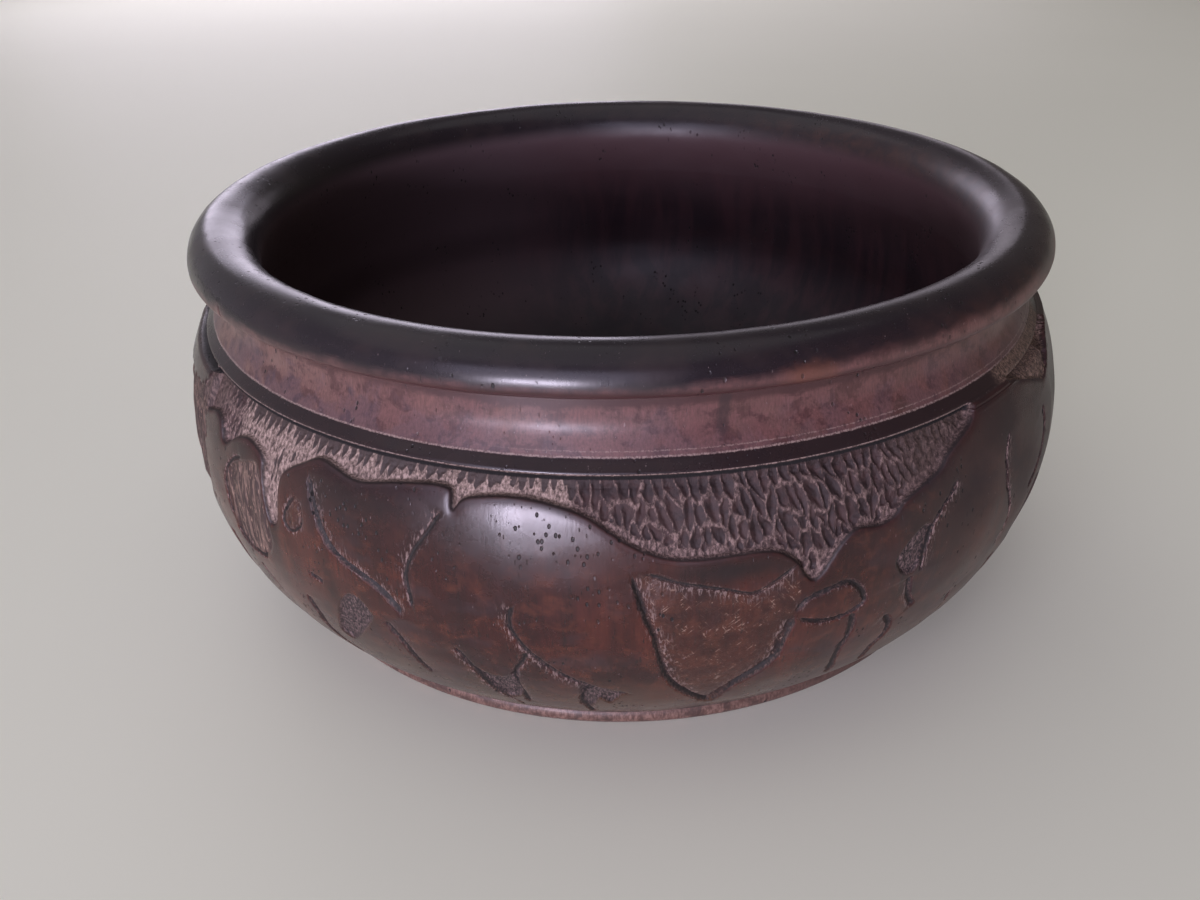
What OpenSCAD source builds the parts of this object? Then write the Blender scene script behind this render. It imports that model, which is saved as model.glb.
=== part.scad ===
// Turned and carved wooden bowl: rolled rim, coved neck, bellied wall and a low foot ring.
// Elephants stand in low relief on the belly, in front of a ground that is cut back.
// It is one block of wood, with its axis along Z and its foot on z = 0. Millimetres.

/* [Rim] */
// Diameter across the widest line of the rolled rim
rim_diameter = 238; // [226:1:244]
// Width of the rolled rim, from its outer edge to the mouth
roll_width = 18.2; // [15:0.2:20]
// How far the crest of the rim lies inside its outer edge
roll_crest = 8.2; // [7:0.2:9]
// Height of the rolled rim above its widest line
roll_rise = 7.6; // [5:0.2:9]
// Depth of the rounding on the inner side of the rim
roll_inner = 11.5; // [8:0.5:13]
// Drop of the rolled rim from its widest line to the crease
roll_drop = 2.4; // [1.6:0.1:3.4]
// How far the crease lies inside the edge of the rolled rim
crease_inset = 4.2; // [3:0.1:5]

/* [Neck] */
// Height of the coved neck, from the crease to the sharp arris
neck_height = 14; // [12:0.2:16]
// Flare of the neck, from its narrowest line out to the arris
neck_flare = 3.6; // [2:0.2:5]
// Height of the bevel under the arris, down to the V-groove
bevel_height = 3.6; // [2.4:0.2:4]
// Depth of the V-groove, measured from the edge of the bevel
groove_depth = 1.4; // [0.6:0.1:2.2]

/* [Belly] */
// Overall height of the bowl
bowl_height = 108.5; // [106:0.5:112]
// Diameter across the widest line of the belly
belly_diameter = 253.2; // [250:0.2:258]
// Radius of the belly's outward curve
belly_curve = 64; // [60:0.5:70]
// Height of the belly's widest line above the table
belly_line = 52.8; // [50:0.2:55]
// Depth of the cut-back ground around the elephants
ground_depth = 1.6; // [0.8:0.1:2.4]
// Number of times the group of elephants goes round the bowl
herd_repeats = 3; // [1:1:3]

/* [Foot] */
// Diameter of the foot ring where it meets the table
foot_diameter = 208; // [200:1:210]
// Height of the foot ring
foot_height = 5; // [4:0.2:6]
// Width of the ring that touches the table
foot_land = 11; // [8:0.5:20]
// Depth of the shallow recess inside the ring
foot_recess = 2.2; // [1:0.1:3.4]

/* [Hollow] */
// Thickness of the wood under the floor of the hollow
floor_thickness = 13; // [11:0.5:18]
// Wall thickness at the hollow's widest line
wall_thickness = 18.6; // [15:0.2:22]
// Height of the hollow's widest line above the table
hollow_line = 58; // [55:0.5:62]
// Radius of the flat part of the floor
floor_radius = 52; // [44:1:58]

/* [Hidden] */
$fn = 84;
wood = [0.20, 0.09, 0.06];

rim_r = rim_diameter / 2;
roll_z = bowl_height - roll_rise;
crease_z = roll_z - roll_drop;
arris_z = crease_z - neck_height;
neck_r = rim_r - crease_inset - 3;
arris_r = neck_r + neck_flare;
bevel_r = arris_r + bevel_height * 0.78;
bevel_z = arris_z - bevel_height * 0.77;
groove_z = arris_z - bevel_height;
belly_r = belly_diameter / 2;
foot_r = foot_diameter / 2;
hollow_r = belly_r - wall_thickness;

// Point on an oval about [r, z] with half widths a and b, at angle t
function oval(r, z, a, b, t) = [r + a * cos(t), z + b * sin(t)];

// Radius of the belly at height z, with the surface moved inwards by d
function belly(z, d = 0) =
  belly_r - belly_curve + sqrt(pow(belly_curve - d, 2) - pow(z - belly_line, 2));

belly_top = groove_z - 1.2;
belly_foot = foot_height + 1.4;

outer_line = concat(
  [[foot_r, 0], [foot_r + 1.1, foot_height * 0.3], [foot_r + 1.2, foot_height * 0.8],
   [foot_r, foot_height]],
  [for (i = [0:18]) let (z = belly_foot + (belly_top - belly_foot) * (1 - cos(10 * i)) / 2)
    [belly(z), z]],
  [[bevel_r - groove_depth, groove_z], [bevel_r, bevel_z]],
  [for (i = [0:6]) let (u = i / 6)
    [neck_r + neck_flare * pow(1 - u, 2), arris_z + (neck_height - 1.8) * u]]
);
crest_r = rim_r - roll_crest;
mouth_r = rim_r - roll_width;
mouth_z = bowl_height - roll_inner;
roll_line = concat(
  [[rim_r - crease_inset, crease_z]],
  [oval(crest_r, roll_z, roll_crest, roll_drop * 1.4, -18)],
  [for (t = [0:15:90]) oval(crest_r, roll_z, roll_crest, roll_rise, t)],
  [for (t = [105:15:180]) oval(crest_r, mouth_z, crest_r - mouth_r, roll_inner, t)]
);
hollow_wall = concat(
  [for (i = [1:6]) let (u = i / 6)
    [mouth_r + (hollow_r - mouth_r) * pow(sin(90 * u), 1.3), mouth_z + (hollow_line - mouth_z) * u]],
  [for (t = [-9:-9:-90])
    oval(floor_radius, hollow_line, hollow_r - floor_radius, hollow_line - floor_thickness, t)]
);
foot_line = [[0, floor_thickness], [0, foot_recess], [foot_r - foot_land - foot_recess, foot_recess],
             [foot_r - foot_land, 0]];

module turned() {
  rotate_extrude() polygon(concat(outer_line, roll_line, hollow_wall, foot_line));
}

// The elephants' backs, as [angle in degrees, height], over one group of 120 degrees
backs_left = [[-57, 68], [-51, 69.5], [-45, 74.3], [-42, 68], [-39, 68], [-38, 71.5], [-35.5, 75],
  [-32.5, 77.2], [-28, 75.7], [-23, 77.8], [-18, 78.3], [-16.7, 77.2], [-16.5, 74], [-15.6, 76],
  [-13, 77.5], [-10, 77.8], [-6, 76.8], [-3, 74.5], [0, 70], [3, 66.8]];
backs_right = [[3, 66.8], [6, 65.2], [14, 65.2], [17, 61], [19, 57], [21.5, 61.5], [23, 65.5],
  [26, 65.2], [30, 69.5], [35, 74.5], [38, 77], [42, 81.5], [45, 78], [52, 74], [58, 71], [63, 68]];

// One half of the ground: the space above the backs, seen square on from angle mid
module ground_half(backs, mid) {
  first = backs[0][0] - mid;
  last = backs[len(backs) - 1][0] - mid;
  rotate(mid) rotate([90, 0, 0]) linear_extrude(belly_r + 5)
    polygon(concat(
      [for (p = backs) [belly_r * sin(p[0] - mid), p[1]]],
      [[belly_r * sin(last), groove_z + 5], [belly_r * sin(first), groove_z + 5]]));
}

module ground() {
  intersection() {
    rotate_extrude() polygon(concat(
      [for (i = [0:9]) let (z = 54 + (groove_z - 54) * i / 9) [belly(z, ground_depth), z]],
      [for (i = [9:-1:0]) let (z = 54 + (groove_z - 54) * i / 9) [belly(z) + 2, z]]));
    union() {
      for (k = [0:herd_repeats - 1]) rotate(120 * k) {
        ground_half(backs_left, -27);
        ground_half(backs_right, 33);
      }
    }
  }
}

module bowl() {
  color(wood) difference() {
    turned();
    ground();
  }
}

bowl();
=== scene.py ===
import math
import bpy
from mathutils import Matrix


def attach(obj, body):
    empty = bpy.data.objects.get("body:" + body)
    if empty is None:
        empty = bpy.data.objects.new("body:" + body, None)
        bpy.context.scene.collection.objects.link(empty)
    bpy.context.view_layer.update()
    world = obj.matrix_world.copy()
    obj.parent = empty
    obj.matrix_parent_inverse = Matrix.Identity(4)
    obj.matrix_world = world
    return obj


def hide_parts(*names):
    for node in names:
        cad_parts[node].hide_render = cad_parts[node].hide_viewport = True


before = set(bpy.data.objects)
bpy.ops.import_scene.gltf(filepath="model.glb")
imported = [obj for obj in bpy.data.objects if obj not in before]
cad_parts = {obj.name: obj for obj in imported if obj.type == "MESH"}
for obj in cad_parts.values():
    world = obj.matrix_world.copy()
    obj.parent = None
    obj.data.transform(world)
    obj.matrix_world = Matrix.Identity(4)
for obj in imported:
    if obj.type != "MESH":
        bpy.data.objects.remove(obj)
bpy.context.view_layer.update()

from types import SimpleNamespace

import bpy
import numpy as np
from mathutils import Matrix, Vector

scene = bpy.context.scene
MM = 0.001

# ---------------------------------------------------------------- small maths


def smooth(lo, hi, x):
    t = np.clip((x - lo) / (hi - lo), 0.0, 1.0)
    return t * t * (3 - 2 * t)


def hash3(i, j, k, seed):
    """A repeatable number in 0..1 for each whole-number cell."""
    h = (i * 374761393 + j * 668265263 + k * 2147483647 + seed * 974634777) & 0xFFFFFFFF
    h = ((h ^ (h >> 13)) * 1274126177) & 0xFFFFFFFF
    h = ((h ^ (h >> 16)) * 2246822519) & 0xFFFFFFFF
    return ((h ^ (h >> 15)) & 0xFFFFFF) / float(0xFFFFFF)


def noise3(x, y, z, seed=0):
    """Smooth value noise, about -1..1."""
    i, j, k = (np.floor(v).astype(np.int64) for v in (x, y, z))
    u, v, w = x - i, y - j, z - k
    u, v, w = (t * t * t * (t * (t * 6 - 15) + 10) for t in (u, v, w))
    out = 0.0
    for a in (0, 1):
        for b in (0, 1):
            for c in (0, 1):
                g = hash3(i + a, j + b, k + c, seed)
                out = out + g * (u if a else 1 - u) * (v if b else 1 - v) * (w if c else 1 - w)
    return out * 2 - 1


def curve(points, steps=4, closed=False):
    """Smooth line through the given points."""
    p = np.array(points, float)
    if closed:
        p = np.vstack([p[-1:], p, p[:2]])
    else:
        p = np.vstack([2 * p[0] - p[1], p, 2 * p[-1] - p[-2]])
    t = np.linspace(0, 1, steps, endpoint=False)[:, None]
    out = []
    for a, b, c, d in zip(p[:-3], p[1:-2], p[2:-1], p[3:]):
        out.append(0.5 * (2 * b + (c - a) * t + (2 * a - 5 * b + 4 * c - d) * t**2
                          + (3 * b - a - 3 * c + d) * t**3))
    out.append(p[-2:-1])
    return np.vstack(out)


def to_line(x, z, line):
    """Distance to an open line, side of it (+1 left of its direction), and place along it 0..1."""
    best = np.full(x.shape, 1e9)
    side = np.zeros(x.shape)
    along = np.zeros(x.shape)
    seg = np.hypot(*(line[1:] - line[:-1]).T)
    reach = np.concatenate([[0], np.cumsum(seg)])
    for n in range(len(line) - 1):
        ax, az = line[n]
        bx, bz = line[n + 1]
        dx, dz = bx - ax, bz - az
        t = np.clip(((x - ax) * dx + (z - az) * dz) / max(seg[n] ** 2, 1e-9), 0, 1)
        ex, ez = x - ax - t * dx, z - az - t * dz
        d = np.hypot(ex, ez)
        near = d < best
        best = np.where(near, d, best)
        side = np.where(near, np.sign(dx * ez - dz * ex), side)
        along = np.where(near, (reach[n] + t * seg[n]) / reach[-1], along)
    return best, side, along


def inside(x, z, line):
    hit = np.zeros(x.shape, bool)
    for (ax, az), (bx, bz) in zip(line, np.roll(line, -1, axis=0)):
        if az == bz:
            continue
        hit ^= ((az > z) != (bz > z)) & (x < (bx - ax) * (z - az) / (bz - az) + ax)
    return hit


# ------------------------------------------------------------- the turned form
# Sizes in millimetres, as in the CAD model.

RIM_R, CREST, MOUTH_R, ROLL_UP, ROLL_UNDER, ROLL_IN = 119.0, 8.2, 100.8, 7.6, 3.3, 11.5
HEIGHT, BELLY_R, BELLY_CURVE, BELLY_LINE = 108.5, 126.6, 64.0, 52.8
FLOOR, HOLLOW_R, HOLLOW_LINE, FLOOR_R = 13.0, 108.0, 58.0, 52.0
ROLL_Z = HEIGHT - ROLL_UP
ARRIS_R, ARRIS_Z, NECK_R, NECK_TOP = 115.4, 84.5, 111.8, 96.7
COVE_Z, COVE_SOFT = 89.6, 0.8
BELLY_LOW, BELLY_TOP = 6.6, 79.7
BEVEL_EDGE = 81.8


def run(points, step):
    """Walk along straight pieces between points in equal steps."""
    p = np.array(points, float)
    out = []
    for a, b in zip(p[:-1], p[1:]):
        n = max(1, int(round(np.hypot(*(b - a)) / step)))
        out += [a + (b - a) * i / n for i in range(n)]
    return out


def oval(r, z, half_r, half_z, angles):
    """Points of an oval about (r, z), at angles in radians."""
    return [(r + half_r * math.cos(t), z + half_z * math.sin(t)) for t in angles]


def belly(z):
    return BELLY_R - BELLY_CURVE + np.sqrt(BELLY_CURVE**2 - (z - BELLY_LINE) ** 2)


def neck(z):
    """Nearly upright above, flared below a tight cove, and ending at the arris."""
    flare = COVE_SOFT * math.log1p(math.exp((COVE_Z - z) / COVE_SOFT))
    return NECK_R + 0.10 * (NECK_TOP - z) + 0.48 * flare


def belly_rows():
    """Rows up the belly, closer together on its carved upper part."""
    out = []
    t = math.asin((BELLY_LOW - BELLY_LINE) / BELLY_CURVE)
    while BELLY_LINE + BELLY_CURVE * math.sin(t) < BELLY_TOP:
        out += oval(BELLY_R - BELLY_CURVE, BELLY_LINE, BELLY_CURVE, BELLY_CURVE, [t])
        t += (0.42 if out[-1][1] < 40 else 0.30) / BELLY_CURVE
    return out


# The outline as (radius, height), from the middle of the underside to the middle of the floor:
# the recess, the foot ring and the gap above it
rows = run([(4, 2.2), (90.6, 2.2), (93.2, 0.15), (94.2, 0), (103.0, 0), (103.9, 0.25)], 2.2)[:-1]
rows += run([(103.9, 0.25), (104.9, 1.3), (105.2, 2.5), (105.0, 3.8), (104.3, 4.8),
             (103.5, 5.4), (104.2, 5.9), (106.2, BELLY_LOW)], 0.35)
# the belly, its lip over the groove, the groove and the bevel
first_belly = len(rows)
rows += belly_rows()
last_belly = len(rows)
rows += run([(120.6, 79.8), (119.9, 80.25), (118.2, 80.55), (116.9, 80.85)], 0.3)
lip_end = len(rows)
rows += run([(116.9, 80.85), (117.5, 81.25), (118.1, 81.7), (117.9, 82.1)], 0.3)
bevel_end = len(rows)
rows += run([(117.9, 82.1), (ARRIS_R, ARRIS_Z)], 0.3)
# the neck and the crease under the rim
rows += [(neck(z), z) for z in np.linspace(ARRIS_Z + 0.2, NECK_TOP, 44)]
rows += run([(112.0, 97.2), (113.7, 98.2)], 0.4)
# the rolled rim, from under its widest line over its crest and down into the mouth
crest_r, mouth_z = RIM_R - CREST, HEIGHT - ROLL_IN
for t in np.radians(np.linspace(-62, 90, 56)):
    rows += oval(crest_r, ROLL_Z, CREST, ROLL_UP if t > 0 else ROLL_UNDER, [t])
rows += oval(crest_r, mouth_z, crest_r - MOUTH_R, ROLL_IN, np.radians(np.linspace(92.5, 180, 36)))
# the hollow and its flat floor
rows += [(MOUTH_R + (HOLLOW_R - MOUTH_R) * math.sin(u * math.pi / 2) ** 1.3,
          mouth_z + (HOLLOW_LINE - mouth_z) * u) for u in np.linspace(0.04, 1, 40)]
rows += oval(FLOOR_R, HOLLOW_LINE, HOLLOW_R - FLOOR_R, FLOOR - HOLLOW_LINE,
             np.radians(np.linspace(2, 90, 62)))
rows += run([(FLOOR_R - 1.2, FLOOR), (4, FLOOR)], 1.6)
prof = np.array(rows)
for _ in range(2):
    prof[1:-1] = 0.25 * prof[:-2] + 0.5 * prof[1:-1] + 0.25 * prof[2:]

# The direction out of the wood at each row. On the belly and its lip it is the belly's own.
slope = np.gradient(prof, axis=0)
slope /= np.hypot(*slope.T)[:, None]
out_r, out_z = slope[:, 1], -slope[:, 0]
tilt = np.clip((prof[first_belly:lip_end, 1] - BELLY_LINE) / BELLY_CURVE, -1, 1)
out_r[first_belly:lip_end], out_z[first_belly:lip_end] = np.sqrt(1 - tilt**2), tilt

# The grid that is carved, one row to each point of the outline: radius, height, angle in degrees, and
# the angle's parts along X and Y
COLS = 2160
R = np.repeat(prof[:, :1], COLS, 1)
Z = np.repeat(prof[:, 1:], COLS, 1)
A = np.repeat(np.linspace(-180, 180, COLS, endpoint=False)[None], len(prof), 0)
S, C = np.sin(np.radians(A)), -np.cos(np.radians(A))

# --------------------------------------------------- the carving, on the belly
# Outlines are in degrees round the bowl and mm of height. Angle 0 is the front (-Y). One group of
# elephants takes 120 degrees and comes three times.

DEG = 2.2  # mm to a degree, on the belly
RIM_DEG = 2.0  # the same, at the crease under the rim
GROUP, START = 120.0, -57.0
CUT_TOP = 79.9  # height from which the rows of gouge cuts are counted
END = 63.0  # angle where the ground ends on the right
OUTSIDE = -9.0  # far outside every cut


def on_bowl(points, **kw):
    p = np.array(points, float)
    p[:, 0] *= DEG
    return curve(p, **kw)


backs = on_bowl([
    (-57, 72.4), (-55.6, 73), (-53.6, 74.4), (-52.2, 73.6), (-51.5, 71.4), (-51, 69.2), (-50, 69.2),
    (-48.6, 71.4), (-47, 73.2), (-45.4, 74.2), (-43.9, 73.8), (-42.5, 72.8), (-41.8, 71), (-41.9, 68),
    (-41.6, 64), (-41.2, 60), (-40.5, 56.6), (-39.6, 57), (-39.1, 60), (-38.9, 66), (-38.5, 70.4),
    (-37.3, 72.7),
    (-35.4, 75), (-33.6, 77.1), (-32.3, 77.5), (-30.4, 76.6), (-28.6, 75.6), (-26.8, 75.6),
    (-23, 77.3), (-19.4, 78.3), (-17.5, 78.2), (-16.8, 77.3), (-16.5, 73.8), (-15.7, 75.9),
    (-14.4, 77), (-11.5, 77.8), (-9, 77.7), (-6, 76.6), (-3.4, 74.6), (-1.4, 71.9), (0.4, 69.3),
    (2.5, 67), (5, 65.4), (8, 65), (12, 65.3), (14.6, 64.9), (16.2, 63.1), (17.3, 60.7), (17.9, 58),
    (18.9, 55.8), (20, 57.3), (21.2, 61), (22.6, 64.4), (24, 65.6), (26.4, 65), (28.2, 66.1),
    (29.6, 68.6), (32, 70.5), (34.6, 72.4), (36.2, 75), (38.5, 77.1), (40.6, 79), (42, 82),
    (43.2, 86), (47.5, 86), (49, 82.6), (51.5, 80.8), (54.4, 78.8), (57.6, 76.4), (60.6, 73.9),
    (63, 72.4)])
ground_poly = np.vstack([[(-70 * DEG, 72.4), (-70 * DEG, 110)], [(75 * DEG, 110), (75 * DEG, 72.4)],
                         backs[::-1]])
backs_wide = np.vstack([backs[-16:-1] - (GROUP * DEG, 0), backs, backs[1:16] + (GROUP * DEG, 0)])

# Rough pockets cut between trunk and legs
pockets = [on_bowl(p, closed=True) for p in (
    [(-29.8, 45.7), (-28.2, 45.6), (-27, 41), (-28.3, 36.5), (-30.4, 31), (-32.6, 26.4), (-34.2, 28),
     (-33.4, 32.5), (-32.3, 37.5), (-31, 43)],
    [(-16, 31.8), (-14.2, 29.4), (-12.2, 29.8), (-10.8, 33.4), (-11.1, 27.5), (-11.4, 21), (-13.2, 17.5),
     (-14.8, 22), (-15.6, 27)],
    [(-4.4, 28.6), (-2.2, 26.9), (-0.2, 24.8), (-1, 20.5), (-1.6, 18.8), (-2.6, 21.6), (-3.2, 18),
     (-4.1, 15.3), (-4.7, 19.5), (-4.7, 24.5)],
    [(28.6, 54.2), (29.4, 57.2), (30.4, 59.2), (32.2, 61.5), (33.4, 60.4), (33, 56.5), (32.4, 52.5),
     (31.2, 49.5), (29.6, 50.5)],
    [(53, 40), (55, 47), (58, 50), (60.5, 46), (60, 38), (57.5, 31), (54.5, 33)])]

# The shallow, streaky hollow between two heads
streaky = on_bowl([(-43, 70.6), (-45.3, 69.4), (-48, 66.8), (-49.6, 63.4), (-50.3, 58.6), (-50.5, 53.2),
                   (-49.9, 48.6), (-49.2, 45), (-47, 43.2), (-44.6, 43.3), (-42.8, 44.4), (-41, 48.8),
                   (-40.6, 53), (-41.2, 58), (-41.8, 63), (-42.1, 67.5)], closed=True)

# Stain and painted shade that darken parts of the belly, most on the body on the right and on the
# tops of the bodies, and crowns of the bodies where open pores gather: angle, height, half width in
# degrees, half height in mm, strength
stains_and_shade = [(11, 62.2, 8, 3.2, 0.9), (39, 62, 7, 14, 0.8), (46, 74, 6, 9, 0.7), (33.5, 70, 3, 5, 0.4),
          (-29, 72, 9, 6, 0.65), (-12, 70, 13, 8, 0.45), (-52.5, 66, 4, 7, 0.5), (52, 60, 9, 16, 0.65),
          (-46, 71, 4, 2.5, 0.6), (60, 56, 8, 16, 0.5)]
crowns = [(-6, 70, 8, 6, 1), (-30, 69, 5, 5, 1), (35, 62, 5, 6, 1), (-48, 30, 8, 8, 1)]

# Cut lines: points, half width, depth, and how much one side drops away (+ left, - right of the line)
lines = [
    # round the streaky hollow
    ([(-46, 69.3), (-48.3, 66.6), (-49.8, 63), (-50.4, 58.6), (-50.6, 53.6), (-50, 48.8)], 0.6, 0.7, 0),
    ([(-49.8, 47), (-49, 44.6), (-47, 43.1), (-44.6, 43.2), (-43, 44.2)], 0.75, 0.9, 0),
    # ear and shoulder of the elephant that looks left
    ([(-34, 74.2), (-33.8, 71), (-33.3, 67.5), (-32.5, 63), (-31.6, 59.4), (-30.4, 56.8), (-28.8, 54.8),
      (-26.6, 52.7), (-25, 50.7), (-24, 48.3), (-23.2, 46), (-23.2, 43.4)], 0.95, 1.0, 0.6),
    ([(-17.6, 73.8), (-18.2, 71.3), (-19.2, 67.7), (-20.4, 64), (-21.2, 60.6), (-21.7, 56.5),
      (-21.5, 51.5), (-21.5, 47.4)], 0.85, 0.8, -0.35),
    # its eye
    ([(-36, 67.3), (-35.2, 64.8), (-35.1, 61), (-35.9, 58.8), (-37, 57.7), (-37.9, 59.4), (-37.7, 62),
      (-36.9, 64.9), (-36, 67.3)], 0.6, 0.45, 0),
    ([(-35, 47.2), (-34, 46.8), (-33.1, 46.2)], 0.9, 0.9, 0),
    # legs and belly
    ([(-25.4, 41), (-24.6, 37.2), (-23.9, 33.4), (-23.4, 29), (-22.9, 25), (-22.4, 22.6)], 0.9, 0.85, 0.4),
    ([(-17.6, 38.4), (-16.9, 35), (-16.1, 31), (-15.6, 26.6), (-15, 22.4), (-14.1, 18.6), (-13.2, 15.4),
      (-12.4, 11)], 0.95, 1.0, -0.4),
    ([(-10.2, 54.4), (-10.9, 51.6), (-11.1, 48), (-10.6, 44.8), (-9.7, 41.2), (-8.6, 38.2), (-7.4, 35),
      (-6, 32), (-4.4, 29.5), (-2.4, 26.9), (-0.6, 25.2), (1, 24.4)], 0.95, 1.0, -0.5),
    ([(-9.6, 40.2), (-10.2, 36.6), (-11.2, 33), (-11.6, 29), (-11.3, 24.6), (-11.1, 20.4), (-11.3, 15)],
     0.8, 0.8, 0.3),
    ([(-3.4, 27.8), (-4.3, 24.2), (-4.7, 20), (-4.5, 17), (-4, 13.5), (-3.6, 9)], 0.8, 0.8, 0.3),
    # ear of the elephant that looks right
    ([(0.8, 63.4), (1.2, 60), (1.8, 56), (2.4, 51), (3, 46.4), (3.5, 41), (4, 36), (4.6, 31.6),
      (5.5, 27.8), (6.8, 24), (8.2, 20.4), (9.6, 17.3), (10.7, 15.3)], 1.0, 1.15, 0.7),
    ([(1.9, 62.7), (3.4, 61.8), (5.4, 60.1), (7.6, 58.8), (10, 57.4), (12.4, 55.6), (14.4, 57.2),
      (16.2, 59.6), (17.2, 61)], 0.8, 0.75, -0.5),
    ([(17.3, 47.4), (16.7, 43.6), (16.2, 38.6), (15.7, 34.4), (14.4, 30.6), (12.8, 27), (11.5, 23.6),
      (10.7, 20), (10.6, 15.6)], 1.5, 0.8, -0.8),
    # its eye
    ([(17.2, 47.6), (17.6, 49.4), (18.4, 51.2), (20, 52.3), (22.2, 53.3), (23.4, 52.8), (24.5, 50.4),
      (25.1, 47.6), (25.1, 45.8), (24, 44.3), (22.2, 43.4), (20.4, 43.8), (18.6, 45), (17.5, 46.6)],
     0.95, 1.1, 0),
    # its trunk and legs
    ([(23.9, 44), (24.3, 40.4), (24.4, 36), (24, 31), (24.2, 26), (24.8, 21.5), (25.6, 16)], 1.3, 0.6, 0),
    ([(28.6, 38.6), (29.7, 36), (30.5, 32.5), (30.4, 28.6), (29.7, 25.2), (29.8, 21.6), (30.6, 16)],
     0.95, 1.0, -0.4),
    ([(31, 48.6), (31.2, 44.6), (31.8, 41), (33, 37.4)], 1.0, 1.0, -0.4),
    # shoulder and ear of the large smooth one
    ([(37.2, 68.8), (36.1, 66), (34.7, 63.6), (33.6, 61), (33, 57.4), (32.5, 52.6), (32.2, 48.8)],
     0.9, 0.8, 0.5),
    ([(47.4, 72.4), (46.4, 67), (46.6, 61), (47.8, 55), (48.8, 49.4), (48.6, 44), (47.4, 40)],
     0.9, 0.9, 0.5),
    ([(57.8, 70), (58.6, 64.4), (58.2, 58.6), (56.2, 53.6), (53.6, 50.4)], 0.85, 0.8, -0.4),
    ([(40.4, 33.6), (41.2, 29), (41.2, 23.6), (42, 18.6), (43.2, 14)], 0.9, 0.9, 0.4),
    ([(49.4, 35.6), (50.4, 30.6), (50.8, 25), (50.4, 19), (51, 13.4)], 0.9, 0.9, -0.4),
    ([(-54.2, 41), (-53.2, 36), (-52.6, 30), (-52.8, 24), (-52, 17.6)], 0.9, 0.9, 0.4),
    ([(-46.5, 38.4), (-44.8, 33.4), (-43.8, 27.6), (-43.8, 21.6), (-43, 15.6)], 0.9, 0.9, -0.4),
    ([(-37.4, 38.4), (-37, 32.4), (-37.4, 26), (-36.6, 19.6), (-35.6, 14)], 0.9, 0.9, 0.4),
]
ear = on_bowl([(1.4, 62.6), (3.6, 61), (7, 58.8), (10.5, 56.6), (12.6, 55.4), (15, 57.6), (16.6, 59),
               (17.6, 54.5), (17.4, 48), (16.6, 42), (15.9, 35.4), (14, 30), (11.8, 24.6), (10.6, 17),
               (8.6, 20), (6.2, 26), (4.6, 32), (3.8, 38), (3, 46), (2, 55)], closed=True)
eye = on_bowl([(-36, 67.3), (-35.1, 64), (-35.4, 60), (-37, 57.7), (-37.9, 60), (-37, 64.5)], closed=True)


def gouge_cuts(x, z, pitch, fall, half_wide, half_long, lean, seed):
    """Lens-shaped scoops in staggered rows: how far inside the nearest, and the second nearest."""
    row = np.floor((CUT_TOP - z) / fall + 0.5)
    first = np.full(x.shape, OUTSIDE)
    second = np.full(x.shape, OUTSIDE)
    for dr in (-1, 0, 1):
        j = (row + dr).astype(np.int64)
        shift = 0.5 * (j % 2)
        col = np.floor(x / pitch - shift + 0.5)
        for dc in (-1, 0, 1):
            i = (col + dc).astype(np.int64)
            # each cut is a little off its place, and has its own lean and size
            rnd = [2 * hash3(i, j, k, seed) - 1 for k in range(4)]
            cx = (i + shift + 0.20 * rnd[0]) * pitch
            cz = CUT_TOP - (j + 0.20 * rnd[1]) * fall
            u = x - cx - (lean + 0.28 * rnd[2]) * (z - cz)
            p = 0.95 + 0.2 * rnd[3] - np.abs(u / half_wide) ** 1.2 - np.abs((z - cz) / half_long) ** 1.2
            second = np.where(p > first, first, np.maximum(second, p))
            first = np.maximum(first, p)
    return first, second


def spikes(x, z, pitch, lean, seed):
    """Wedge-shaped scoops that open towards the groove and leave pointed spikes between them."""
    out = np.full(x.shape, OUTSIDE)
    col = np.floor(x / pitch + 0.5)
    for dc in (-1, 0, 1):
        i = (col + dc).astype(np.int64)
        rnd = [2 * hash3(i, 0, k, seed) - 1 for k in range(3)]
        tip = 77.3 + 1.0 * rnd[0]
        u = x - (i + 0.16 * rnd[1]) * pitch - (lean + 0.12 * rnd[2]) * (z - CUT_TOP)
        out = np.maximum(out, (z - tip) / 3.2 - np.abs(u) / 1.05)
    return out


# The carved band of the grid: angle, radius and height, and the angle within a group of elephants
band = slice(first_belly, bevel_end)
a, r, z = A[band], R[band], Z[band]
am = (a - START) % GROUP + START


def band_noise(across, up, seed):
    """Noise on the carved band, in cells so many mm across and so many mm high."""
    return noise3(r * S[band] / across, r * C[band] / across, z / up, seed)


# Every outline wavers a little, and more so on the copies at the sides and back
far = smooth(62, 75, np.abs(a))
warp_x = band_noise(14, 14, 5) * (0.35 + 2.2 * far)
warp_z = band_noise(16, 16, 6) * (0.30 + 2.4 * far)
ragged = band_noise(1.3, 2.2, 7) + 0.5 * band_noise(0.6, 0.9, 8)
x = am * DEG + warp_x * 0.6 + ragged * 0.10
zz = z + warp_z * 0.6


def depth_inside(outline):
    """How far inside a closed outline, in mm, and below 0 outside it."""
    d, _, _ = to_line(x, zz, np.vstack([outline, outline[:1]]))
    return np.where(inside(x, zz, outline), d, -d)


def spots(places):
    """Soft oval spots: angle, height, half width in degrees, half height in mm and strength."""
    out = np.zeros(x.shape)
    for at, up, wide, high, strength in places:
        out = np.maximum(out, strength * np.exp(-((am - at) / wide) ** 2 - ((z - up) / high) ** 2))
    return out


def slanted(angle, height):
    """Angle with the slant of the ground's right end taken out."""
    return angle - 1.05 * (height - 75)


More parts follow.
